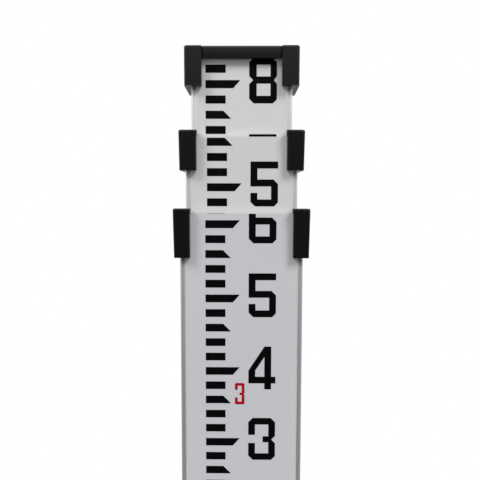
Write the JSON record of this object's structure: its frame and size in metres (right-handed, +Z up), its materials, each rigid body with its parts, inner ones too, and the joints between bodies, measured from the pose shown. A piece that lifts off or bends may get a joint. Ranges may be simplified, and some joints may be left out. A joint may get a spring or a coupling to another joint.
{
  "type": "leveling staff",
  "caption": "Telescopic aluminium leveling staff, closed: box-section tubes sliding in each other, with a feet scale on the front, black guide collars, a top cap and push-button locks.",
  "frame": {"origin": "middle of the underside of the foot plate, which is the zero of the scale", "axes": "+Z up along the staff, +X to the right across the printed face as seen from the front, the face looks towards -Y"},
  "size_m": [0.0552, 0.0318, 1.167],
  "materials": {
    "tube_aluminium": "satin",
    "collar_plastic": "matte",
    "plug_plastic": "matte",
    "button_plastic": "satin",
    "plate_steel": "satin",
    "screw_steel": "satin",
    "spring_steel": "satin",
    "rivet_aluminium": "satin",
    "white_coat": "satin",
    "black_ink": "satin",
    "red_ink": "satin"
  },
  "bodies": {
    "lower": {"lower_tube": "tube_aluminium", "foot_plug": "plug_plastic", "foot_plate": "plate_steel", "foot_screws": "screw_steel", "foot_rivets": "rivet_aluminium", "lower_collar": "collar_plastic", "lower_collar_rivets": "rivet_aluminium"},
    "middle": {"middle_tube": "tube_aluminium", "middle_plug": "plug_plastic", "middle_plug_pins": "rivet_aluminium", "middle_spring": "spring_steel", "middle_collar": "collar_plastic", "middle_collar_rivets": "rivet_aluminium"},
    "middle_button": {"middle_button": "button_plastic"},
    "upper": {"upper_tube": "tube_aluminium", "upper_plug": "plug_plastic", "upper_plug_pins": "rivet_aluminium", "upper_spring": "spring_steel", "top_cap": "collar_plastic", "top_cap_rivets": "rivet_aluminium"},
    "upper_button": {"upper_button": "button_plastic"}
  },
  "joints": [
    {"name": "middle_slide", "type": "slide", "parent": "lower", "child": "middle", "axis": [0, 0, 1], "range_m": [0, 0.869]},
    {"name": "upper_slide", "type": "slide", "parent": "middle", "child": "upper", "axis": [0, 0, 1], "range_m": [0, 0.9643]},
    {"name": "middle_button_travel", "type": "slide", "parent": "middle", "child": "middle_button", "axis": [0, 1, 0], "range_m": [0, 0.00275], "stiffness_N_per_m": 510, "springref_m": 0.0085, "deforming": ["middle_spring"]},
    {"name": "upper_button_travel", "type": "slide", "parent": "upper", "child": "upper_button", "axis": [0, 1, 0], "range_m": [0, 0.00275], "stiffness_N_per_m": 810, "springref_m": 0.006, "deforming": ["upper_spring"]}
  ]
}
